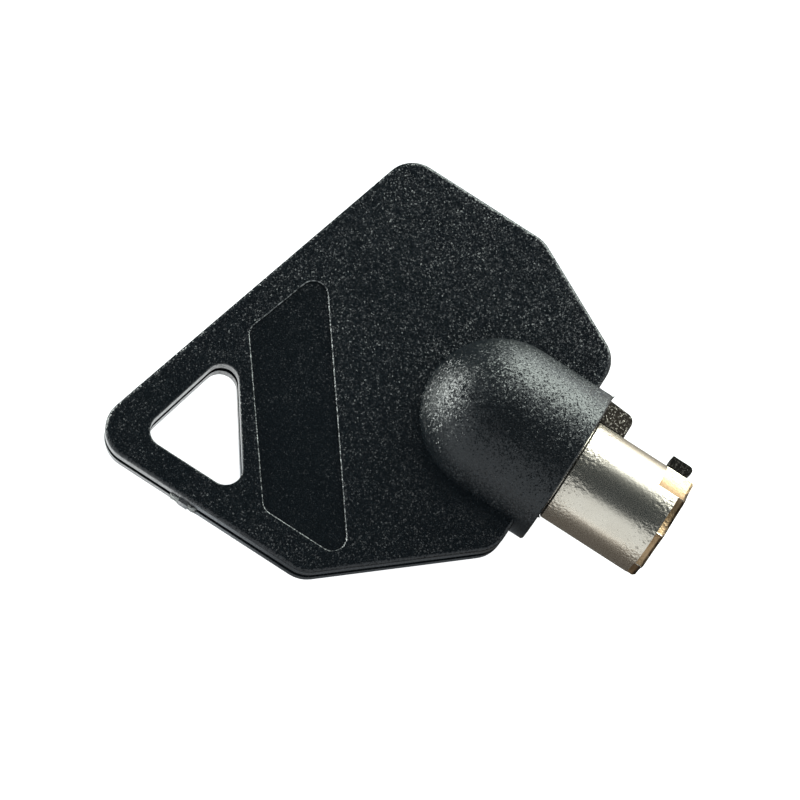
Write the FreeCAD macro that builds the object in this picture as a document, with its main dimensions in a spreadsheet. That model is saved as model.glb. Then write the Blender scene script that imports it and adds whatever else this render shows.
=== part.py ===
import FreeCAD, Part

# Tubular key with a plastic bow, for a key-operated selector switch.
#
# The key's own frame: +X runs along the barrel towards its mouth, +Y across the flat bow towards
# its upper edge and +Z out of the bow's front face. The origin is the centre of the barrel's mouth,
# and the XY plane is the parting plane between the two halves of the bow.
#
# Pieces: front_shell and rear_shell (the moulded bow), core_plate (a stamped blade between them,
# whose shoulder shows beside the barrel's root), key_barrel (the turned and plated tube),
# drive_nib (a stamped key let into the tube near its mouth) and cross_pin (barrel to blade).

import math
import os

import Sketcher
from FreeCAD import Placement, Rotation, Vector

# Driving dimensions, in millimetres.
DIMENSIONS = {
    # The bow's plate: its outline is six straight sides joined by equal arcs about these centres.
    "bow_thickness": 3.8,
    "corner_radius": 2.8,
    "ring_end_x": -41.92,
    "lower_edge_y": -17.88,
    "lower_corner_x": -24.81,
    "nose_x": -14.0,
    "nose_lower_y": -8.54,
    "nose_upper_y": 8.32,
    "shoulder_x": -22.7,
    "upper_edge_y": 12.8,
    "upper_corner_x": -33.74,
    "edge_rounding": 0.4,
    # The groove left all round the parting plane, half of it in each shell.
    "groove_width": 1.0,
    "groove_depth": 0.5,
    # The three-sided hole for a key ring.
    "ring_hole_radius": 1.45,
    "ring_hole_tip_x": -39.82,
    "ring_hole_lower_y": -16.65,
    "ring_hole_front_x": -34.03,
    "ring_hole_top_x": -38.38,
    "ring_hole_top_y": -10.5,
    "ring_hole_rounding": 0.15,
    # The shallow smooth panel in the front face, and its sloping border.
    "panel_radius": 1.2,
    "panel_depth": 0.2,
    "panel_border": 0.08,
    "panel_lower_y": -16.65,
    "panel_lower_rear_x": -28.85,
    "panel_lower_front_x": -23.4,
    "panel_upper_rear_x": -37.6,
    "panel_upper_rear_y": -5.2,
    "panel_upper_front_x": -36.0,
    "panel_upper_front_y": 0.2,
    # The boss: half a cylinder on each face, with a ball end.
    "boss_radius": 7.25,
    "boss_end_x": -9.8,
    "boss_ball_x": -16.9,
    "boss_rim_chamfer": 0.12,
    # Locating pegs on the front shell, and their clearance in the rear shell's sockets.
    "peg_radius": 1.0,
    "peg_height": 1.1,
    "peg_1_x": -33.5,
    "peg_1_y": 10.5,
    "peg_2_x": -20.5,
    "peg_2_y": 10.5,
    "peg_3_x": -36.0,
    "peg_3_y": -3.0,
    "peg_4_x": -27.0,
    "peg_4_y": -16.5,
    "peg_5_x": -17.5,
    "peg_5_y": -11.0,
    "fit_gap": 0.05,
    # The slip of plastic left on the rear shell's lower wall where the moulding gate was trimmed.
    "gate_x": -35.9,
    "gate_length": 0.9,
    "gate_height": 0.25,
    "gate_slope": 0.25,
    "gate_rear_z": -1.0,
    "gate_front_z": 0.5,
    # The barrel.
    "barrel_radius": 4.75,
    "barrel_root_x": -9.65,
    "mouth_chamfer": 0.2,
    "root_chamfer": 0.15,
    "bore_radius": 3.8,
    "bore_depth": 8.5,
    "stem_radius": 4.4,
    "stem_end_x": -18.5,
    "neck_radius": 3.7,
    "neck_front_x": -12.6,
    "neck_rear_x": -13.8,
    "pin_radius": 0.8,
    "pin_x": -16.2,
    "pin_length": 8.6,
    # Bitting: seven concave cuts about the mouth, one sector apart, the nib's sector left whole.
    "cut_floor_radius": 4.05,
    "cut_length_1": 2.7,
    "cut_length_2": 0.7,
    "cut_length_3": 0.7,
    "cut_length_4": 0.8,
    "cut_length_5": 2.0,
    "cut_length_6": 1.3,
    "cut_length_7": 2.4,
    # The drive nib.
    "nib_height": 1.0,
    "nib_width": 2.0,
    "nib_rear_x": -2.7,
    "nib_seat_x": -1.05,
    "nib_front_x": -0.62,
    "nib_nose_rounding": 0.4,
    # The core plate, its tang in the barrel's slot and its shoulder beside the barrel.
    "plate_thickness": 2.0,
    "plate_rear_x": -32.0,
    "plate_step_x": -20.0,
    "plate_half_height": 6.85,
    "tang_lower_y": -4.2,
    "tang_front_x": -11.1,
    "shoulder_front_x": -7.12,
    "shoulder_front_y": 6.65,
    "shoulder_rounding": 0.8,
}

SHEET = "Dimensions"
SECTORS = 8
PEGS = 5
# How far a cutting outline reaches past the material it removes, and how close counts as touching.
PAST = 1.0
NEAR = 1e-3


class Size:
    """A number together with the sheet formula that gives it, so that both travel as one."""

    def __init__(self, value, formula):
        self.value = value
        self.formula = formula

    def __add__(self, other):
        other = as_size(other)
        return Size(self.value + other.value, f"({self.formula} + {other.formula})")

    def __sub__(self, other):
        other = as_size(other)
        return Size(self.value - other.value, f"({self.formula} - {other.formula})")

    def __mul__(self, other):
        other = as_size(other)
        return Size(self.value * other.value, f"({self.formula} * {other.formula})")

    def __truediv__(self, other):
        other = as_size(other)
        return Size(self.value / other.value, f"({self.formula} / {other.formula})")

    def __neg__(self):
        return Size(-self.value, f"(-1 * {self.formula})")


def as_size(thing):
    """Give a Size unchanged, and a plain number as a Size of its own."""
    if isinstance(thing, Size):
        return thing
    return Size(float(thing), f"({float(thing):.9f})")


def size(alias):
    """Read one driving dimension from the sheet's table."""
    return Size(DIMENSIONS[alias], f"{SHEET}.{alias}")


def fill_sheet(doc):
    """Write every driving dimension into the spreadsheet, one row each, with its alias."""
    sheet = doc.addObject("Spreadsheet::Sheet", SHEET)
    for row, (alias, value) in enumerate(DIMENSIONS.items(), start=1):
        sheet.set(f"A{row}", alias.replace("_", " "))
        sheet.set(f"B{row}", str(value))
        sheet.setAlias(f"B{row}", alias)
    doc.recompute()
    return sheet


# ---- Sketches ----------------------------------------------------------------------------------


def sketch_on(body, name, role, offset=0.0):
    """Start a sketch on one of the body's own origin planes, moved along the plane's normal."""
    sketch = body.newObject("Sketcher::SketchObject", name)
    plane = next(item for item in body.Origin.OriginFeatures if item.Role == role)
    offset = as_size(offset)
    sketch.AttachmentSupport = [(plane, "")]
    sketch.MapMode = "FlatFace"
    sketch.AttachmentOffset = Placement(Vector(0, 0, offset.value), Rotation())
    sketch.setExpression("AttachmentOffset.Base.z", offset.formula)
    return sketch


def constrain(sketch, kind, value, *where):
    """Add one dimension to a sketch and tie it to the sheet."""
    value = as_size(value)
    index = sketch.addConstraint(Sketcher.Constraint(kind, *where, value.value))
    sketch.setExpression(f"Constraints[{index}]", value.formula)


def pin_point(sketch, geometry, point, place):
    """Fix one point of a sketch at an (x, y) pair of sizes from the sketch's origin."""
    constrain(sketch, "DistanceX", place[0], -1, 1, geometry, point)
    constrain(sketch, "DistanceY", place[1], -1, 1, geometry, point)


def flat(place):
    """Turn an (x, y) pair of sizes into a point of the sketch plane."""
    return Vector(as_size(place[0]).value, as_size(place[1]).value, 0)


def draw_circle(sketch, centre, radius):
    """Draw one circle, fixed in place and size."""
    radius = as_size(radius)
    circle = sketch.addGeometry(Part.Circle(flat(centre), Vector(0, 0, 1), radius.value))
    pin_point(sketch, circle, 3, centre)
    constrain(sketch, "Radius", radius, circle)


def draw_polygon(sketch, corners):
    """Draw a closed outline of straight sides through (x, y) pairs of sizes."""
    count = len(corners)
    for start, end in zip(corners, corners[1:] + corners[:1]):
        sketch.addGeometry(Part.LineSegment(flat(start), flat(end)))
    for side in range(count):
        sketch.addConstraint(Sketcher.Constraint("Coincident", side, 2, (side + 1) % count, 1))
        pin_point(sketch, side, 1, corners[side])


def draw_rounded(sketch, centres, radius):
    """Draw a closed outline of straight sides and equal corner arcs, centres anticlockwise."""
    radius = as_size(radius)
    count = len(centres)
    points = [flat(centre) for centre in centres]
    outward = []
    for start, end in zip(points, points[1:] + points[:1]):
        along = (end - start).normalize()
        outward.append(Vector(along.y, -along.x, 0))
    first = sketch.GeometryCount
    for corner in range(count):
        before, after = outward[corner - 1], outward[corner]
        from_angle = math.atan2(before.y, before.x)
        turn = before.getAngle(after)
        ring = Part.Circle(points[corner], Vector(0, 0, 1), radius.value)
        sketch.addGeometry(Part.ArcOfCircle(ring, from_angle, from_angle + turn))
        side_start = points[corner] + after * radius.value
        side_end = points[(corner + 1) % count] + after * radius.value
        sketch.addGeometry(Part.LineSegment(side_start, side_end))
    for corner in range(count):
        arc = first + 2 * corner
        side = arc + 1
        next_arc = first + 2 * ((corner + 1) % count)
        sketch.addConstraint(Sketcher.Constraint("Tangent", arc, 2, side, 1))
        sketch.addConstraint(Sketcher.Constraint("Tangent", side, 2, next_arc, 1))
        pin_point(sketch, arc, 3, centres[corner])
        constrain(sketch, "Radius", radius, arc)


# ---- Features ----------------------------------------------------------------------------------


def origin_axis(body, role):
    """Give a link to one of the body's own origin axes."""
    return (next(item for item in body.Origin.OriginFeatures if item.Role == role), [""])


def extrude(body, kind, name, sketch, length, backwards=False, symmetric=False):
    """Make a Pad or a Pocket of a sketch; backwards turns it against its usual direction."""
    feature = body.newObject(f"PartDesign::{kind}", name)
    feature.Profile = sketch
    feature.SideType = "Symmetric" if symmetric else "One side"
    feature.Reversed = backwards
    length = as_size(length)
    feature.Length = length.value
    feature.setExpression("Length", length.formula)
    sketch.Document.recompute()
    return feature


def revolve(body, kind, name, sketch, angle=360.0, backwards=False):
    """Make a Revolution or a Groove of a sketch about the barrel's axis."""
    feature = body.newObject(f"PartDesign::{kind}", name)
    feature.Profile = sketch
    feature.ReferenceAxis = origin_axis(body, "X_Axis")
    feature.Angle = angle
    feature.Reversed = backwards
    sketch.Document.recompute()
    return feature


def edges_where(shape, test):
    """Name the edges of a shape whose ends and middle all pass a test."""
    names = []
    for number, edge in enumerate(shape.Edges, start=1):
        low, high = edge.ParameterRange
        samples = [edge.valueAt(low + (high - low) * part) for part in (0.0, 0.3, 0.5, 0.8, 1.0)]
        if all(test(point) for point in samples):
            names.append(f"Edge{number}")
    return names


def dress(body, kind, name, base, test, amount):
    """Add a Fillet or a Chamfer to the edges of a feature that pass a test."""
    feature = body.newObject(f"PartDesign::{kind}", name)
    feature.Base = (base, edges_where(base.Shape, test))
    measure = "Radius" if kind == "Fillet" else "Size"
    amount = as_size(amount)
    setattr(feature, measure, amount.value)
    feature.setExpression(measure, amount.formula)
    body.Document.recompute()
    return feature


# ---- Outlines shared by several pieces ---------------------------------------------------------


def bow_centres():
    """Arc centres of the bow's outline, anticlockwise seen from the front."""
    return [
        (size("ring_end_x"), size("lower_edge_y")),
        (size("lower_corner_x"), size("lower_edge_y")),
        (size("nose_x"), size("nose_lower_y")),
        (size("nose_x"), size("nose_upper_y")),
        (size("shoulder_x"), size("upper_edge_y")),
        (size("upper_corner_x"), size("upper_edge_y")),
    ]


def ring_hole_centres():
    """Arc centres of the key-ring hole."""
    return [
        (size("ring_hole_tip_x"), size("ring_hole_lower_y")),
        (size("ring_hole_front_x"), size("ring_hole_lower_y")),
        (size("ring_hole_top_x"), size("ring_hole_top_y")),
    ]


def panel_centres():
    """Arc centres of the recessed panel."""
    return [
        (size("panel_lower_rear_x"), size("panel_lower_y")),
        (size("panel_lower_front_x"), size("panel_lower_y")),
        (size("panel_upper_front_x"), size("panel_upper_front_y")),
        (size("panel_upper_rear_x"), size("panel_upper_rear_y")),
    ]


def peg_places():
    """Centres of the locating pegs."""
    return [(size(f"peg_{peg}_x"), size(f"peg_{peg}_y")) for peg in range(1, PEGS + 1)]


def plate_corners(gap):
    """Corners of the core plate, grown by a gap on its outer sides."""
    return [
        (size("plate_rear_x") - gap, -size("plate_half_height") - gap),
        (size("plate_step_x") + gap, -size("plate_half_height") - gap),
        (size("plate_step_x") + gap, size("tang_lower_y") - gap),
        (size("tang_front_x") + gap, size("tang_lower_y") - gap),
        (size("tang_front_x") + gap, size("barrel_radius")),
        (size("shoulder_front_x") + gap, size("barrel_radius")),
        (size("shoulder_front_x") + gap, size("shoulder_front_y") + gap),
        (size("boss_end_x"), size("plate_half_height") + gap),
        (size("plate_rear_x") - gap, size("plate_half_height") + gap),
    ]


# ---- The moulded bow ---------------------------------------------------------------------------


def build_shell(doc, label, side):
    """Build one half of the bow; side is 1 for the front half and -1 for the rear."""
    front = side > 0
    body = doc.addObject("PartDesign::Body", label)
    body.Label = label
    half = size("bow_thickness") / 2
    radius = size("corner_radius")
    hole_radius = size("ring_hole_radius")

    outline = sketch_on(body, f"{label}_outline", "XY_Plane")
    draw_rounded(outline, bow_centres(), radius)
    draw_rounded(outline, ring_hole_centres(), hole_radius)
    slab = extrude(body, "Pad", f"{label}_slab", outline, half, backwards=not front)

    rebate = sketch_on(body, f"{label}_rebate_outline", "XY_Plane")
    draw_rounded(rebate, bow_centres(), radius + PAST)
    draw_rounded(rebate, bow_centres(), radius - size("groove_depth"))
    draw_rounded(rebate, ring_hole_centres(), hole_radius + size("groove_depth"))
    width = size("groove_width") / 2
    slab = extrude(body, "Pocket", f"{label}_rebate", rebate, width, backwards=front)

    corners = [flat(centre) for centre in ring_hole_centres()]
    middle = (corners[0] + corners[1] + corners[2]) / 3
    reach = max((corner - middle).Length for corner in corners) + hole_radius.value

    def on_face(point):
        return abs(point.z - side * half.value) < NEAR

    def by_ring_hole(point):
        return (Vector(point.x, point.y, 0) - middle).Length < reach + NEAR

    slab = dress(body, "Fillet", f"{label}_edge", slab,
                 lambda point: on_face(point) and not by_ring_hole(point), size("edge_rounding"))
    dress(body, "Fillet", f"{label}_hole_edge", slab,
          lambda point: on_face(point) and by_ring_hole(point), size("ring_hole_rounding"))

    add_boss(body, label, side)
    if front:
        add_panel(body, label, half)
    cut_inside(body, label, front)
    if front:
        add_pegs(body, label)
    else:
        add_sockets(body, label)
        add_gate_vestige(body, label)
    return body


def add_boss(body, label, side):
    """Add half of the ball-ended boss that wraps the barrel's stem."""
    ball, end, radius = size("boss_ball_x"), size("boss_end_x"), size("boss_radius")
    rim = size("boss_rim_chamfer")
    profile = sketch_on(body, f"{label}_boss_profile", "XY_Plane")
    corners = [
        (ball - radius, as_size(0)),
        (end, as_size(0)),
        (end, radius - rim),
        (end - rim, radius),
        (ball, radius),
    ]
    for start, finish in zip(corners, corners[1:]):
        profile.addGeometry(Part.LineSegment(flat(start), flat(finish)))
    ring = Part.Circle(flat((ball, 0)), Vector(0, 0, 1), radius.value)
    arc = profile.addGeometry(Part.ArcOfCircle(ring, math.pi / 2, math.pi))
    for line in range(len(corners) - 2):
        profile.addConstraint(Sketcher.Constraint("Coincident", line, 2, line + 1, 1))
    for line in range(1, 4):
        pin_point(profile, line, 1, corners[line])
    profile.addConstraint(Sketcher.Constraint("Horizontal", 0))
    profile.addConstraint(Sketcher.Constraint("Horizontal", 3))
    profile.addConstraint(Sketcher.Constraint("Tangent", 3, 2, arc, 1))
    profile.addConstraint(Sketcher.Constraint("Coincident", arc, 2, 0, 1))
    pin_point(profile, arc, 3, (ball, as_size(0)))
    return revolve(body, "Revolution", f"{label}_boss", profile, 180.0, backwards=side < 0)


def add_panel(body, label, half):
    """Sink the smooth panel into the front face, with a sloping border."""
    outline = sketch_on(body, f"{label}_panel_outline", "XY_Plane", half)
    draw_rounded(outline, panel_centres(), size("panel_radius"))
    panel = extrude(body, "Pocket", f"{label}_panel", outline, size("panel_depth"))

    def on_outline(point):
        return outline.Shape.distToShape(Part.Vertex(point))[0] < NEAR

    dress(body, "Chamfer", f"{label}_panel_border", panel, on_outline, size("panel_border"))


def cut_inside(body, label, front):
    """Hollow the shell for the barrel's stem, its neck rib and the core plate."""
    gap = size("fit_gap")
    stem = sketch_on(body, f"{label}_stem_profile", "XY_Plane")
    draw_polygon(stem, [
        (size("stem_end_x") - gap, as_size(0)),
        (size("boss_end_x") + PAST, as_size(0)),
        (size("boss_end_x") + PAST, size("stem_radius")),
        (size("neck_front_x"), size("stem_radius")),
        (size("neck_front_x"), size("neck_radius")),
        (size("neck_rear_x"), size("neck_radius")),
        (size("neck_rear_x"), size("stem_radius")),
        (size("stem_end_x") - gap, size("stem_radius")),
    ])
    revolve(body, "Groove", f"{label}_stem_seat", stem)
    plate = sketch_on(body, f"{label}_plate_outline", "XY_Plane")
    draw_polygon(plate, plate_corners(gap))
    extrude(body, "Pocket", f"{label}_plate_seat", plate, size("plate_thickness") / 2, backwards=front)


def add_pegs(body, label):
    """Stand the locating pegs on the parting face."""
    pegs = sketch_on(body, f"{label}_peg_circles", "XY_Plane")
    for place in peg_places():
        draw_circle(pegs, place, size("peg_radius"))
    extrude(body, "Pad", f"{label}_pegs", pegs, size("peg_height"), backwards=True)


def add_sockets(body, label):
    """Sink the blind holes that take the pegs."""
    sockets = sketch_on(body, f"{label}_socket_circles", "XY_Plane")
    for place in peg_places():
        draw_circle(sockets, place, size("peg_radius") + size("fit_gap"))
    extrude(body, "Pocket", f"{label}_sockets", sockets, size("peg_height") + size("fit_gap"))


def add_gate_vestige(body, label):
    """Leave the trimmed slip of plastic that bridges the groove on the lower edge."""
    wall = size("lower_edge_y") - size("corner_radius")
    groove_floor = wall + size("groove_depth")
    half_groove = size("groove_width") / 2
    outer = wall - size("gate_height")
    slope, rear, front = size("gate_slope"), size("gate_rear_z"), size("gate_front_z")
    section = sketch_on(body, f"{label}_gate_section", "YZ_Plane", size("gate_x"))
    draw_polygon(section, [
        (outer, rear),
        (wall + slope, rear - slope),
        (groove_floor, -half_groove),
        (groove_floor, half_groove),
        (wall, half_groove),
        (wall, front + slope),
        (outer, front),
    ])
    extrude(body, "Pad", f"{label}_gate", section, size("gate_length"))


# ---- The metal pieces --------------------------------------------------------------------------


def build_barrel(doc):
    """Turn the barrel, then slot it, drill it and cut the bitting."""
    label = "key_barrel"
    body = doc.addObject("PartDesign::Body", label)
    body.Label = label
    radius, root, stem = size("barrel_radius"), size("barrel_root_x"), size("stem_radius")
    mouth, shoulder = size("mouth_chamfer"), size("root_chamfer")
    bore, depth = size("bore_radius"), -size("bore_depth")
    turned = sketch_on(body, "barrel_profile", "XY_Plane")
    draw_polygon(turned, [
        (size("stem_end_x"), as_size(0)),
        (depth, as_size(0)),
        (depth, bore),
        (as_size(0), bore),
        (as_size(0), radius - mouth),
        (-mouth, radius),
        (root + shoulder, radius),
        (root, radius - shoulder),
        (root, stem),
        (size("neck_front_x"), stem),
        (size("neck_front_x"), size("neck_radius")),
        (size("neck_rear_x"), size("neck_radius")),
        (size("neck_rear_x"), stem),
        (size("stem_end_x"), stem),
    ])
    revolve(body, "Revolution", "barrel_turned", turned)

    slot = sketch_on(body, "barrel_slot_outline", "XY_Plane")
    slot_end = size("tang_front_x") + size("fit_gap")
    draw_polygon(slot, [
        (size("stem_end_x") - PAST, -radius),
        (slot_end, -radius),
        (slot_end, radius),
        (size("stem_end_x") - PAST, radius),
    ])
    extrude(body, "Pocket", "barrel_slot", slot, size("plate_thickness"), symmetric=True)

    pin_hole = sketch_on(body, "barrel_pin_circle", "XY_Plane")
    draw_circle(pin_hole, (size("pin_x"), 0), size("pin_radius"))
    extrude(body, "Pocket", "barrel_pin_hole", pin_hole, radius * 2, symmetric=True)

    seat = sketch_on(body, "barrel_nib_seat_outline", "XY_Plane")
    draw_polygon(seat, [
        (size("nib_rear_x"), bore / 2),
        (size("nib_seat_x"), bore / 2),
        (size("nib_seat_x"), radius + PAST),
        (size("nib_rear_x"), radius + PAST),
    ])
    extrude(body, "Pocket", "barrel_nib_seat", seat, size("nib_width"), symmetric=True)

    cut_bitting(body)
    return body


def cut_bitting(body):
    """Mill the seven concave cuts round the mouth; neighbours meet on the barrel's surface."""
    radius, floor = size("barrel_radius"), size("cut_floor_radius")
    sector = math.radians(360 / SECTORS)
    edge = radius * math.cos(sector / 2)
    reach = (radius * radius - floor * floor) / ((edge - floor) * 2)
    for cut in range(1, SECTORS):
        angle = cut * sector
        section = sketch_on(body, f"cut_circle_{cut}", "YZ_Plane")
        centre = (reach * math.cos(angle), reach * math.sin(angle))
        draw_circle(section, centre, reach - floor)
        extrude(body, "Pocket", f"cut_{cut}", section, size(f"cut_length_{cut}"))


def build_nib(doc):
    """Stamp the nib: a bar let through the barrel's wall, with a rounded nose over the rim."""
    label = "drive_nib"
    body = doc.addObject("PartDesign::Body", label)
    body.Label = label
    radius = size("barrel_radius")
    top = radius + size("nib_height")
    nose = size("nib_nose_rounding")
    outline = sketch_on(body, "nib_outline", "XY_Plane")
    draw_polygon(outline, [
        (size("nib_rear_x"), size("bore_radius")),
        (size("nib_seat_x"), size("bore_radius")),
        (size("nib_seat_x"), radius),
        (size("nib_front_x"), radius + nose),
        (size("nib_front_x"), top),
        (size("nib_rear_x"), top),
    ])
    blank = extrude(body, "Pad", "nib_blank", outline, size("nib_width"), symmetric=True)

    def at_nose(point):
        corner = Vector(size("nib_front_x").value, top.value, point.z)
        return (point - corner).Length < NEAR

    dress(body, "Fillet", "nib_nose", blank, at_nose, nose)
    return body


def build_core_plate(doc):
    """Stamp the core plate, with its tang, its shoulder and the cross pin's hole."""
    label = "core_plate"
    body = doc.addObject("PartDesign::Body", label)
    body.Label = label
    outline = sketch_on(body, "plate_outline", "XY_Plane")
    draw_polygon(outline, plate_corners(as_size(0)))
    blank = extrude(body, "Pad", "plate_blank", outline, size("plate_thickness"), symmetric=True)

    def at_shoulder(point):
        corner = Vector(size("shoulder_front_x").value, size("shoulder_front_y").value, point.z)
        return (point - corner).Length < NEAR

    dress(body, "Fillet", "plate_shoulder", blank, at_shoulder, size("shoulder_rounding"))
    hole = sketch_on(body, "plate_pin_circle", "XY_Plane")
    draw_circle(hole, (size("pin_x"), 0), size("pin_radius"))
    extrude(body, "Pocket", "plate_pin_hole", hole, size("plate_thickness") * 2, symmetric=True)
    return body


def build_cross_pin(doc):
    """Cut the pin that holds the tang in the barrel's stem."""
    label = "cross_pin"
    body = doc.addObject("PartDesign::Body", label)
    body.Label = label
    circle = sketch_on(body, "pin_circle", "XY_Plane")
    draw_circle(circle, (size("pin_x"), 0), size("pin_radius"))
    extrude(body, "Pad", "pin_rod", circle, size("pin_length"), symmetric=True)
    return body


# ---- Checks and output -------------------------------------------------------------------------


def check_features(body):
    """Make sure that every feature that adds did add, and every one that cuts did cut."""
    adding = ("PartDesign::Pad", "PartDesign::Revolution")
    cutting = ("PartDesign::Pocket", "PartDesign::Groove")
    volume = 0.0
    for feature in body.Group:
        if not feature.isDerivedFrom("PartDesign::Feature"):
            continue
        after = feature.Shape.Volume
        if feature.TypeId in adding and after <= volume:
            raise RuntimeError(f"{feature.Label} adds nothing")
        if feature.TypeId in cutting and after >= volume:
            raise RuntimeError(f"{feature.Label} cuts nothing")
        volume = after


def check_document(doc, bodies):
    """Stop on any failed object, loose sketch or broken solid."""
    for item in doc.Objects:
        if "Invalid" in item.State or "Error" in item.State:
            raise RuntimeError(f"{item.Label} failed: {item.State}")
        if item.TypeId == "Sketcher::SketchObject" and not item.FullyConstrained:
            raise RuntimeError(f"{item.Label} isn't fully constrained")
    for body in bodies:
        check_features(body)
        shape = body.Shape
        if shape.isNull() or not shape.isValid() or len(shape.Solids) != 1:
            raise RuntimeError(f"{body.Label} isn't one valid solid")


def main():
    doc = FreeCAD.newDocument("tubular_key")
    fill_sheet(doc)
    bodies = [
        build_shell(doc, "front_shell", 1),
        build_shell(doc, "rear_shell", -1),
        build_core_plate(doc),
        build_barrel(doc),
        build_nib(doc),
        build_cross_pin(doc),
    ]
    doc.recompute()
    check_document(doc, bodies)
    os.makedirs("parts", exist_ok=True)
    for body in bodies:
        box = body.Shape.BoundBox
        print(f"{body.Label}: {body.Shape.Volume:.1f} mm3, {box}")
        body.Shape.exportStep(f"parts/{body.Label}.step")


main()
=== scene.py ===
import math
import random

import bmesh
import bpy
from mathutils import Euler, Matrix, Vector


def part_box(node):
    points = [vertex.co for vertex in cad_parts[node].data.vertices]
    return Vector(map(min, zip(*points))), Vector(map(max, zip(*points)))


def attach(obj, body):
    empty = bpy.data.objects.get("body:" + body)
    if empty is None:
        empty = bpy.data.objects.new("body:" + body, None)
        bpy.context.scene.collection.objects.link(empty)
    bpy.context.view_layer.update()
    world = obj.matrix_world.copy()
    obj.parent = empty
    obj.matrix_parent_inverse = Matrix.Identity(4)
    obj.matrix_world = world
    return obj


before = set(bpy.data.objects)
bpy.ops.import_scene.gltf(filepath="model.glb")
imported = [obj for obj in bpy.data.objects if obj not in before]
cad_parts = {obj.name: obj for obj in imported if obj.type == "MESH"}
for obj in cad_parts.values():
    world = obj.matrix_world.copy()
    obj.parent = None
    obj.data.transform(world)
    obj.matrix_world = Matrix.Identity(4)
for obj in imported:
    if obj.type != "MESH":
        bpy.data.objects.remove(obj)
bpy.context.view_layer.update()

# Tubular key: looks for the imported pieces, the moulding's blemishes, studio and camera.
# Places are in the key's own frame: +X out of the barrel's mouth, +Y to the bow's upper edge,
# +Z out of the bow's front face, with the origin at the barrel's mouth. MM turns millimetres
# into metres.
MM = 0.001

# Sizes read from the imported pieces, in millimetres. The key lies on its rear shell.
BARREL_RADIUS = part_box("key_barrel")[1].y / MM
FLOOR_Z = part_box("rear_shell")[0].z / MM

# Facts that the boxes don't give, in millimetres: the bow's face, its sunk panel and that
# panel's sloped border, the key ring hole, and the barrel's bore, milled cuts and plated part.
FACE_Z = 1.9
PANEL_Z = 1.7
PANEL_BORDER = 0.08
PANEL_SLOPE_UP = math.sqrt(0.5)
RING_HOLE_MIDDLE = Vector((-37.4, -14.6))
RING_HOLE_REACH = 5.0
BORE_RADIUS = 3.8
CUTS_REAR_X = -3.0
PLATE_MIDDLE_X = -5.0

# The gate's scar, and each sliver of flash from its root to its tip, in millimetres.
GATE_MIDDLE = Vector((-35.5, -20.7, -0.3))
GATE_HALF = Vector((1.35, 0.23, 0.9))
GATE_CUTS = 9
GATE_SEED = 4
FLASH_HALF_WIDTH, FLASH_HALF_THICKNESS = 0.28, 0.09
FLASHES = {
    "upper_flash": (Vector((-10.0, 7.1, 0.0)), Vector((-9.6, 7.72, 0.0))),
    "lower_flash": (Vector((-9.95, -4.85, -0.2)), Vector((-9.5, -5.0, -0.2))),
}


# ---- Shader helpers ----------------------------------------------------------------------------


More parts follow.
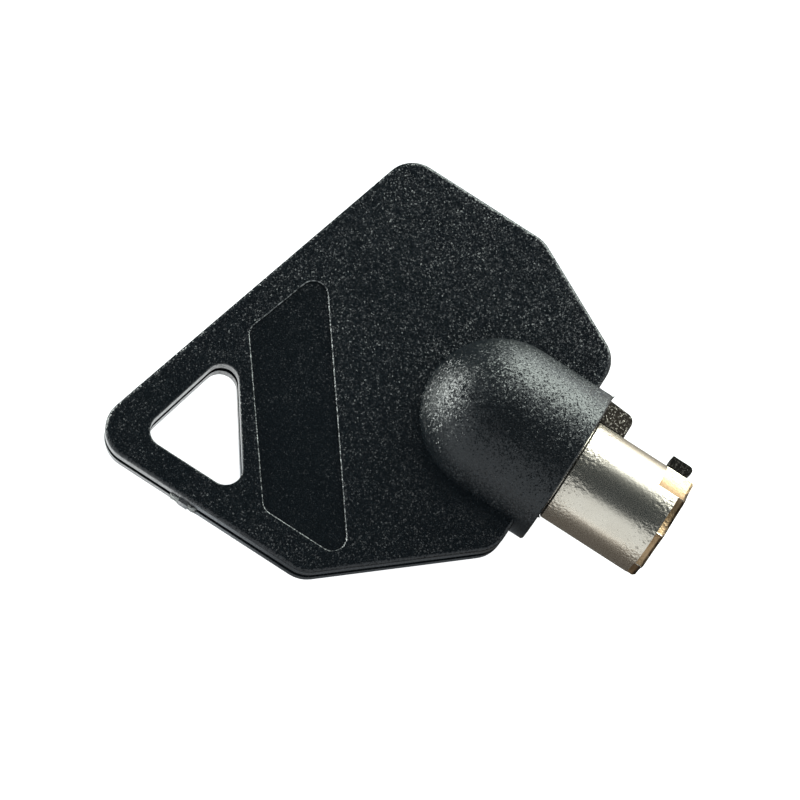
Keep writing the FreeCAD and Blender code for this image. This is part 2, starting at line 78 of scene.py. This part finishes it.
class Shader:
    """One material's node tree. Textures read the piece's own place, in millimetres."""

    def __init__(self, name):
        self.material = bpy.data.materials.new(name)
        self.material.use_nodes = True
        self.tree = self.material.node_tree
        self.surface = self.tree.nodes["Principled BSDF"]
        split = self.place_of(self.tree)
        self.place = split.inputs[0].links[0].from_socket
        self.x, self.y, self.z = split.outputs
        facing = self.add("ShaderNodeSeparateXYZ")
        self.tree.links.new(self.add("ShaderNodeTexCoord").outputs["Normal"], facing.inputs[0])
        self.facing_z = facing.outputs["Z"]

    @staticmethod
    def place_of(tree):
        """A node that splits the piece's own place, in millimetres, into X, Y and Z."""
        coordinates = tree.nodes.new("ShaderNodeTexCoord")
        scaled = tree.nodes.new("ShaderNodeVectorMath")
        scaled.operation = "SCALE"
        scaled.inputs["Scale"].default_value = 1 / MM
        tree.links.new(coordinates.outputs["Object"], scaled.inputs[0])
        split = tree.nodes.new("ShaderNodeSeparateXYZ")
        tree.links.new(scaled.outputs[0], split.inputs[0])
        return split

    def add(self, kind, **settings):
        """Add a node and set its properties."""
        node = self.tree.nodes.new(kind)
        for key, value in settings.items():
            setattr(node, key, value)
        return node

    def feed(self, socket, value):
        """Link a socket to another, or set it to a plain value."""
        if isinstance(value, bpy.types.NodeSocket):
            self.tree.links.new(value, socket)
        else:
            socket.default_value = value

    def math(self, operation, first, second=0.0):
        node = self.add("ShaderNodeMath", operation=operation)
        self.feed(node.inputs[0], first)
        self.feed(node.inputs[1], second)
        return node.outputs[0]

    def across(self, first, second):
        """The length of the slope whose two sides are given."""
        squares = [self.math("MULTIPLY", side, side) for side in (first, second)]
        return self.math("SQRT", self.math("ADD", *squares))

    def ramp(self, value, low, high, to_low=0.0, to_high=1.0):
        """Carry a value smoothly from one range to another, held at the ends."""
        node = self.add("ShaderNodeMapRange", interpolation_type="SMOOTHSTEP")
        for socket, item in zip(node.inputs, (value, low, high, to_low, to_high)):
            self.feed(socket, item)
        return node.outputs[0]

    def stretched(self, factors, turn=(0.0, 0.0, 0.0)):
        """The piece's own place, turned by degrees and stretched along each axis."""
        node = self.add("ShaderNodeMapping", vector_type="TEXTURE")
        self.feed(node.inputs["Vector"], self.place)
        node.inputs["Rotation"].default_value = [math.radians(angle) for angle in turn]
        node.inputs["Scale"].default_value = factors
        return node.outputs[0]

    def noise(self, scale, detail=2.0, roughness=0.5, where=None):
        """Noise with its scale in cells per millimetre."""
        node = self.add("ShaderNodeTexNoise")
        self.feed(node.inputs["Vector"], where or self.place)
        node.inputs["Scale"].default_value = scale
        node.inputs["Detail"].default_value = detail
        node.inputs["Roughness"].default_value = roughness
        return node.outputs["Fac"]

    def cells(self, scale):
        """Distance to the nearest of a cloud of random points, and a random colour for each."""
        node = self.add("ShaderNodeTexVoronoi")
        self.feed(node.inputs["Vector"], self.place)
        node.inputs["Scale"].default_value = scale
        return node.outputs["Distance"], node.outputs["Color"]

    def vector(self, operation, first, second=(0.0, 0.0, 0.0)):
        node = self.add("ShaderNodeVectorMath", operation=operation)
        self.feed(node.inputs[0], first)
        self.feed(node.inputs[1], second)
        return node.outputs[0]

    def facets(self, colours, spread):
        """The surface's direction, tipped by a different random amount in each cell."""
        parts = self.add("ShaderNodeSeparateColor")
        self.feed(parts.inputs[0], colours)
        centred = self.vector("SUBTRACT", colours, (0.5, 0.5, 0.5))
        scale = self.add("ShaderNodeVectorMath", operation="SCALE")
        self.feed(scale.inputs[0], centred)
        self.feed(scale.inputs["Scale"], self.math("MULTIPLY", parts.outputs[2], spread))
        surface = self.add("ShaderNodeNewGeometry").outputs["Normal"]
        return self.vector("NORMALIZE", self.vector("ADD", surface, scale.outputs[0]))

    def mix(self, share, first, second):
        """Blend two colours, given as sockets or as (red, green, blue)."""
        node = self.add("ShaderNodeMix", data_type="RGBA")
        sockets = [socket for socket in node.inputs if socket.type == "RGBA"]
        self.feed(node.inputs["Factor"], share)
        for socket, colour in zip(sockets, (first, second)):
            self.feed(socket, (*colour, 1.0) if isinstance(colour, tuple) else colour)
        return node.outputs["Result"]

    def bump(self, height, depth, below=None):
        """Raise the surface by a height from 0 to 1 times a depth in millimetres."""
        node = self.add("ShaderNodeBump")
        node.inputs["Distance"].default_value = depth * MM
        self.feed(node.inputs["Height"], height)
        if below is not None:
            self.feed(node.inputs["Normal"], below)
        return node.outputs["Normal"]

    def finish(self, **inputs):
        """Set the surface's own sockets; a name's underscores stand for spaces."""
        for key, value in inputs.items():
            socket = self.surface.inputs[key.replace("_", " ")]
            self.feed(socket, (*value, 1.0) if isinstance(value, tuple) else value)
        return self.material


# ---- Materials ---------------------------------------------------------------------------------

# Grains and a finer grain of the moulded surface, the finer one also placing the painted glints, in
# cells per millimetre.
GRAIN_SCALE = 9.5
FINE_GRAIN_AND_GLINT_SCALE = 10.5

PLASTIC_BLACK = (0.0020, 0.0038, 0.0052)
# Pale dots on the black plastic are painted glints, standing in for the grain's sparkle.
PLASTIC_PAINTED_GLINT = (0.040, 0.050, 0.055)
# Painted reflection on the walls of the key ring hole.
PLASTIC_PAINTED_SHEEN = (0.16, 0.165, 0.16)
# Painted highlight along the sloped border of the sunk panel.
PLASTIC_PAINTED_HIGHLIGHT = (0.27, 0.28, 0.27)
TORN_DARK, TORN_PALE = (0.02, 0.022, 0.024), (0.34, 0.35, 0.33)
NICKEL_BRIGHT, NICKEL_STAINED = (0.82, 0.76, 0.65), (0.73, 0.66, 0.55)
NICKEL_PIT = (0.22, 0.19, 0.15)
BRASS_BRIGHT, BRASS_DULL = (0.58, 0.42, 0.26), (0.38, 0.25, 0.13)
# Painted shade along the brass's rounded edge at the mouth.
MOUTH_PAINTED_SHADE = (0.024, 0.015, 0.009)
# Core plate and small parts: dark grounds are painted shade of their plate, pale dots are painted
# glints.
PLATE_PAINTED_SHADE, PLATE_PAINTED_GLINT = (0.075, 0.063, 0.052), (0.48, 0.44, 0.39)
SMALL_PAINTED_SHADE, SMALL_PAINTED_GLINT = (0.030, 0.027, 0.024), (0.12, 0.11, 0.10)


def sunk_panel(shader, upright):
    """1 on the flat floor of the sunk panel, and 0 elsewhere."""
    off_floor = shader.math("ABSOLUTE", shader.math("SUBTRACT", shader.z, PANEL_Z))
    at_depth = shader.ramp(off_floor, 0.01, 0.03, 1.0, 0.0)
    return shader.math("MULTIPLY", at_depth, shader.ramp(upright, 0.98, 0.995))


def panel_border(shader, upright):
    """1 on the sloped border round the sunk panel, and 0 elsewhere."""
    off_slope = shader.math("ABSOLUTE", shader.math("SUBTRACT", upright, PANEL_SLOPE_UP))
    off_edge = shader.math("ABSOLUTE", shader.math("SUBTRACT", shader.z, FACE_Z - PANEL_BORDER / 2))
    return shader.math("MULTIPLY", shader.ramp(off_slope, 0.02, 0.05, 1.0, 0.0),
                       shader.ramp(off_edge, 0.045, 0.055, 1.0, 0.0))


def ring_hole_wall(shader, upright):
    """1 on the walls of the key ring hole, and 0 elsewhere."""
    from_middle = shader.across(shader.math("SUBTRACT", shader.x, RING_HOLE_MIDDLE.x),
                                shader.math("SUBTRACT", shader.y, RING_HOLE_MIDDLE.y))
    nearby = shader.ramp(from_middle, RING_HOLE_REACH - 0.3, RING_HOLE_REACH, 1.0, 0.0)
    return shader.math("MULTIPLY", nearby, shader.ramp(upright, 0.2, 0.5, 1.0, 0.0))


def make_bow_plastic(name, panelled):
    """Black moulded plastic with a spark-eroded grain and painted glints, a painted reflection on the
    key ring hole's walls and a painted highlight on the sunk panel's border; its sunk panel is
    smoother.
    """
    shader = Shader(name)
    upright = shader.math("ABSOLUTE", shader.facing_z)
    distance, colours = shader.cells(GRAIN_SCALE)
    fine_grain_and_glints = shader.noise(FINE_GRAIN_AND_GLINT_SCALE, detail=2.0)

    # Grains tip further in patches and towards the upper edge, and less on steep walls.
    patches = shader.ramp(shader.noise(0.3, detail=2.0), 0.3, 0.7, 0.75, 1.1)
    spread = shader.math("MULTIPLY", patches, shader.ramp(shader.y, -16.0, 12.0, 1.08, 1.22))
    spread = shader.math("MULTIPLY", spread, shader.ramp(upright, 0.15, 0.6, 0.3, 1.0))
    # Pale dots on the grains' middles are painted glints, standing in for the grain's sparkle.
    painted_glints = shader.math("MULTIPLY", shader.ramp(distance, 0.1, 0.4, 1.0, 0.0),
                         shader.ramp(fine_grain_and_glints, 0.45, 0.65))
    if panelled:
        calm = shader.ramp(sunk_panel(shader, upright), 0.0, 1.0, 1.0, 0.58)
        spread = shader.math("MULTIPLY", spread, calm)
        painted_glints = shader.math("MULTIPLY", painted_glints, calm)
    colour = shader.mix(painted_glints, PLASTIC_BLACK, PLASTIC_PAINTED_GLINT)

    # The key ring hole's walls are painted pale in patches, a painted reflection, and the panel's
    # border is painted pale in broken stretches, a painted highlight.
    hole_wall_sheen = shader.ramp(shader.noise(6.0, detail=4.0, roughness=0.7), 0.42, 0.56)
    hole_wall_sheen = shader.math("MULTIPLY", ring_hole_wall(shader, upright), hole_wall_sheen)
    colour = shader.mix(hole_wall_sheen, colour, PLASTIC_PAINTED_SHEEN)
    if panelled:
        breaks = shader.ramp(shader.noise(3.2, detail=4.0, roughness=0.7), 0.44, 0.62)
        border_highlight = shader.math("MULTIPLY", panel_border(shader, upright), breaks)
        colour = shader.mix(border_highlight, colour, PLASTIC_PAINTED_HIGHLIGHT)

    # The boss is a little duller than the flat of the bow.
    height = shader.math("ABSOLUTE", shader.z)
    dulled = shader.ramp(height, FACE_Z + 0.2, FACE_Z + 0.7, 0.0, 0.09)
    roughness = shader.math("ADD", shader.ramp(fine_grain_and_glints, 0.3, 0.7, 0.25, 0.16), dulled)
    normal = shader.bump(fine_grain_and_glints, 0.02, shader.facets(colours, spread))
    return shader.finish(Base_Color=colour, Roughness=roughness, Normal=normal)


def make_torn_plastic():
    """The same plastic where it was trimmed: stretched pale and left rough."""
    shader = Shader("torn_plastic")
    fibres = shader.noise(4.0, detail=4.0, where=shader.stretched((1.6, 1.0, 0.5)))
    colour = shader.mix(shader.ramp(fibres, 0.4, 0.6), TORN_DARK, TORN_PALE)
    return shader.finish(Base_Color=colour, Roughness=0.7, Normal=shader.bump(fibres, 0.08))


def make_barrel_plate():
    """Satin nickel plate over brass, with the bare brass of the milled cuts."""
    shader = Shader("barrel_plate")

    # The cuts lie between the bore and the outside, near the mouth.
    radius = shader.across(shader.y, shader.z)
    under_plate = shader.ramp(radius, BARREL_RADIUS - 0.06, BARREL_RADIUS - 0.03, 1.0, 0.0)
    near_mouth = shader.ramp(shader.x, CUTS_REAR_X, CUTS_REAR_X + 0.1)
    off_bore = shader.ramp(radius, BORE_RADIUS + 0.01, BORE_RADIUS + 0.04)
    bare = shader.math("MULTIPLY", shader.math("MULTIPLY", under_plate, near_mouth), off_bore)

    # The plate is pitted and peened towards both ends of the part that shows.
    from_middle = shader.math("ABSOLUTE", shader.math("SUBTRACT", shader.x, PLATE_MIDDLE_X))
    ends = shader.ramp(from_middle, 1.5, 4.5, 0.15, 1.0)
    pits = shader.math("MULTIPLY", shader.ramp(shader.noise(5.0, detail=2.0), 0.58, 0.70), ends)
    peened = shader.math("MULTIPLY", shader.noise(3.2, detail=3.0), ends)
    stain = shader.noise(0.5, detail=3.0)
    nickel = shader.mix(stain, NICKEL_BRIGHT, NICKEL_STAINED)
    nickel = shader.mix(shader.math("MULTIPLY", pits, 0.75), nickel, NICKEL_PIT)

    # The brass has the cutter's marks along it, and its rounded edge at the mouth is painted dark, a
    # painted shade.
    chatter = shader.noise(3.0, detail=2.0, where=shader.stretched((0.25, 2.0, 2.0)))
    brass = shader.mix(chatter, BRASS_BRIGHT, BRASS_DULL)
    mouth_painted_shade = shader.math("MULTIPLY", shader.ramp(shader.x, -0.34, -0.14),
                           shader.ramp(chatter, 0.35, 0.6, 0.6, 1.0))
    brass = shader.mix(mouth_painted_shade, brass, MOUTH_PAINTED_SHADE)

    roughness = shader.math("ADD", shader.ramp(pits, 0.0, 1.0, 0.27, 0.42),
                            shader.math("MULTIPLY", bare, 0.16))
    normal = shader.bump(chatter, 0.008, shader.bump(peened, 0.08))
    return shader.finish(Base_Color=shader.mix(bare, nickel, brass), Metallic=1.0,
                         Roughness=roughness, Normal=normal)


def make_shade_painted_metal(name, shade_paint, glint_paint):
    """Dull plated steel painted dark, a painted shade of its plate, with fine pale dots that are
    painted glints.
    """
    shader = Shader(name)
    # Pale dots are painted glints; the same dots are shinier and raised.
    speck_and_glint = shader.ramp(shader.noise(5.0, detail=3.0, roughness=0.65), 0.52, 0.72)
    roughness = shader.ramp(speck_and_glint, 0.0, 1.0, 0.42, 0.25)
    return shader.finish(Base_Color=shader.mix(speck_and_glint, shade_paint, glint_paint), Metallic=1.0,
                         Roughness=roughness, Normal=shader.bump(speck_and_glint, 0.03))


def dress_nodes():
    """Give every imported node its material."""
    small_shade_painted_metal = make_shade_painted_metal("small_shade_painted_metal", SMALL_PAINTED_SHADE, SMALL_PAINTED_GLINT)
    looks = {
        "front_shell": make_bow_plastic("bow_plastic_front", True),
        "rear_shell": make_bow_plastic("bow_plastic_rear", False),
        "key_barrel": make_barrel_plate(),
        "core_plate": make_shade_painted_metal("plate_shade_painted_metal", PLATE_PAINTED_SHADE, PLATE_PAINTED_GLINT),
        "drive_nib": small_shade_painted_metal,
        "cross_pin": small_shade_painted_metal,
    }
    for name, material in looks.items():
        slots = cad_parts[name].data.materials
        slots.clear()
        slots.append(material)


# ---- Moulding blemishes ------------------------------------------------------------------------


def piece_from(name, code, material):
    """Make a mesh piece of the bow's plastic that rides with the key."""
    mesh = bpy.data.meshes.new(name)
    code.to_mesh(mesh)
    code.free()
    for face in mesh.polygons:
        face.use_smooth = True
    piece = bpy.data.objects.new(name, mesh)
    bpy.context.scene.collection.objects.link(piece)
    mesh.materials.append(material)
    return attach(piece, "root")


def add_gate_scar(material):
    """The torn slip left where the gate was trimmed, a lumpy pad over the groove."""
    draw = random.Random(GATE_SEED)
    code = bmesh.new()
    bmesh.ops.create_cube(code, size=2.0)
    bmesh.ops.subdivide_edges(code, edges=code.edges, cuts=GATE_CUTS, use_grid_fill=True)
    for vertex in code.verts:
        along, out, up = vertex.co
        rim = max(abs(along), abs(up)) ** 4
        ragged = 1.0 - rim * draw.uniform(0.0, 0.3)
        lump = (1.0 - 0.6 * rim) * (1.0 - draw.uniform(0.0, 0.7) * (out < 0))
        shape = (along * ragged, out * lump, up * ragged)
        vertex.co = (GATE_MIDDLE + Vector(a * b for a, b in zip(shape, GATE_HALF))) * MM
    return piece_from("gate_scar", code, material)


def add_flash(name, root, tip, material):
    """A sliver of flash squeezed out at the boss's end, from its root to its tip."""
    code = bmesh.new()
    across = (tip - root).cross(Vector((0, 0, 1))).normalized() * FLASH_HALF_WIDTH
    up = Vector((0, 0, FLASH_HALF_THICKNESS))
    sides = (across + up, up - across, -across - up, across - up)
    corners = [code.verts.new((root + side) * MM) for side in sides]
    point = code.verts.new(tip * MM)
    code.faces.new(list(reversed(corners)))
    for start, end in zip(corners, corners[1:] + corners[:1]):
        code.faces.new((start, end, point))
    bmesh.ops.recalc_face_normals(code, faces=code.faces)
    return piece_from(name, code, material)


# ---- Studio ------------------------------------------------------------------------------------

LIGHT_AIM = Vector((-20.0, 0.0, 0.0))
GREENISH = (0.94, 1.0, 0.95)
COOL_GREY = (0.9, 0.95, 1.0)


def glow(name, colour, strength):
    """A plain emitting material for stage cards."""
    material = bpy.data.materials.new(name)
    material.use_nodes = True
    tree = material.node_tree
    tree.nodes.clear()
    light = tree.nodes.new("ShaderNodeEmission")
    light.inputs["Color"].default_value = (*colour, 1.0)
    light.inputs["Strength"].default_value = strength
    output = tree.nodes.new("ShaderNodeOutputMaterial")
    tree.links.new(light.outputs[0], output.inputs[0])
    return material


def add_sheet(name, corners, material):
    """A flat four-cornered stage piece."""
    code = bmesh.new()
    code.faces.new([code.verts.new(Vector(corner) * MM) for corner in corners])
    mesh = bpy.data.meshes.new(name)
    code.to_mesh(mesh)
    code.free()
    mesh.materials.append(material)
    sheet = bpy.data.objects.new(name, mesh)
    bpy.context.scene.collection.objects.link(sheet)
    return sheet


def add_floor():
    """A pale floor that glows a little, as a lit sweep does."""
    material = bpy.data.materials.new("pale_floor")
    material.use_nodes = True
    surface = material.node_tree.nodes["Principled BSDF"]
    surface.inputs["Base Color"].default_value = (0.8, 0.8, 0.8, 1.0)
    surface.inputs["Roughness"].default_value = 0.9
    surface.inputs["Emission Color"].default_value = (1.0, 1.0, 1.0, 1.0)
    surface.inputs["Emission Strength"].default_value = 0.75
    half, level = 2000.0, FLOOR_Z - 0.02
    corners = [(-half, -half, level), (half, -half, level), (half, half, level), (-half, half, level)]
    add_sheet("floor", corners, material)


def add_flag(name, corners, colour, strength):
    """A card that only reflections see, much dimmer than the surroundings."""
    flag = add_sheet(name, corners, glow(name, colour, strength))
    for ray in ("camera", "diffuse", "shadow", "transmission", "volume_scatter"):
        setattr(flag, f"visible_{ray}", False)
    return flag


# How the painted shadow on the floor brightens: the axis, where the rise starts and ends along it,
# and its strength.
SHADE_FADES = ((1, -12, -140, 0.7), (1, 7, 40, 1.4), (0, -25, -36, 0.7))


def add_shade_below(name, left, right, colour, strength):
    """A painted shadow of the key: a stretch of dim floor under it, seen only in reflections, from
    one X to another, brighter towards its edges.
    """
    level = FLOOR_Z + 0.05
    corners = [(left, -145, level), (right, -145, level), (right, 42, level), (left, 42, level)]
    card = add_flag(name, corners, colour, strength)
    tree = card.data.materials[0].node_tree
    place = Shader.place_of(tree)
    total = None
    for axis, start, end, gain in SHADE_FADES:
        fade = tree.nodes.new("ShaderNodeMapRange")
        fade.interpolation_type = "SMOOTHSTEP"
        tree.links.new(place.outputs[axis], fade.inputs["Value"])
        for socket, value in zip(fade.inputs[1:5], (start, end, 0.0, gain)):
            socket.default_value = value
        join = tree.nodes.new("ShaderNodeMath")
        join.operation = "ADD"
        tree.links.new(fade.outputs[0], join.inputs[0])
        if total is None:
            join.inputs[1].default_value = strength
        else:
            tree.links.new(total, join.inputs[1])
        total = join.outputs[0]
    tree.links.new(total, tree.nodes["Emission"].inputs["Strength"])


def add_softbox(name, place, width, height, watts, colour):
    """A rectangular studio light, aimed at the key; its place and sizes are in millimetres."""
    lamp = bpy.data.lights.new(name, "AREA")
    lamp.shape = "RECTANGLE"
    lamp.size, lamp.size_y = width * MM, height * MM
    lamp.energy = watts
    lamp.color = colour
    box = bpy.data.objects.new(name, lamp)
    box.location = Vector(place) * MM
    box.rotation_euler = (LIGHT_AIM - Vector(place)).to_track_quat("-Z", "Y").to_euler()
    bpy.context.scene.collection.objects.link(box)


def light_studio():
    """White surroundings, low softboxes, a dark camera side and a painted shadow on the floor below
    the key.
    """
    world = bpy.data.worlds.new("studio")
    world.use_nodes = True
    sky = world.node_tree.nodes["Background"]
    sky.inputs["Color"].default_value = (0.90, 0.96, 1.0, 1.0)
    sky.inputs["Strength"].default_value = 0.9
    bpy.context.scene.world = world

    add_softbox("upper_softbox", (20.0, 360.0, 75.0), 380.0, 170.0, 2.1, (0.90, 1.0, 0.92))
    add_softbox("upper_fill", (20.0, 320.0, 250.0), 340.0, 130.0, 0.25, GREENISH)
    add_softbox("ring_end_softbox", (-380.0, -10.0, 27.0), 180.0, 72.0, 1.4, GREENISH)

    corners = [(-260, -190, 250), (220, -190, 250), (220, 170, 250), (-260, 170, 250)]
    add_flag("dark_above", corners, (0.8, 0.95, 1.05), 0.06)
    corners = [(-380, 130, -5), (-170, 340, -5), (-170, 340, 330), (-380, 130, 330)]
    add_flag("dark_corner", corners, COOL_GREY, 0.06)
    level = FLOOR_Z + 0.04
    corners = [(-46, -14, level), (-38, 16, level), (-170, 340, level), (-380, 130, level)]
    add_flag("dark_corner_floor", corners, COOL_GREY, 0.15)
    add_shade_below("shade_below_bow", -36, -10, (0.90, 0.97, 1.02), 0.16)
    add_shade_below("shade_below_barrel", -10, 60, (1.0, 0.92, 0.84), 0.1)


# ---- Camera ------------------------------------------------------------------------------------

# The camera stands nearly over the front face, tipped towards the bow's lower edge, and is rolled
# so that the barrel points down to the right. Angles are in degrees, places in millimetres.
CAMERA_AIM = Vector((-24.974, -2.980, -0.041))
CAMERA_AZIMUTH = 6.468
CAMERA_ELEVATION = 74.503
CAMERA_ROLL = 26.565
CAMERA_DISTANCE = 262.393
CAMERA_SENSOR = 36.0
CAMERA_LENS = 138.15


def add_camera():
    """Place the camera and make it the scene's own."""
    azimuth, elevation = math.radians(CAMERA_AZIMUTH), math.radians(CAMERA_ELEVATION)
    level = math.cos(elevation)
    back = Vector((math.sin(azimuth) * level, -math.cos(azimuth) * level, math.sin(elevation)))
    lens = bpy.data.cameras.new("camera")
    lens.sensor_width = CAMERA_SENSOR
    lens.lens = CAMERA_LENS
    lens.clip_start, lens.clip_end = 0.01, 20.0
    camera = bpy.data.objects.new("camera", lens)
    camera.location = (CAMERA_AIM + back * CAMERA_DISTANCE) * MM
    turn = (-back).to_track_quat("-Z", "Y").to_matrix()
    roll = Euler((0, 0, math.radians(CAMERA_ROLL))).to_matrix()
    camera.rotation_euler = (turn @ roll).to_euler()
    bpy.context.scene.collection.objects.link(camera)
    bpy.context.scene.camera = camera


bpy.context.scene.view_settings.view_transform = "Standard"
dress_nodes()
add_gate_scar(make_torn_plastic())
for flash, (root, tip) in FLASHES.items():
    add_flash(flash, root, tip, bpy.data.materials["bow_plastic_rear"])
add_floor()
light_studio()
add_camera()
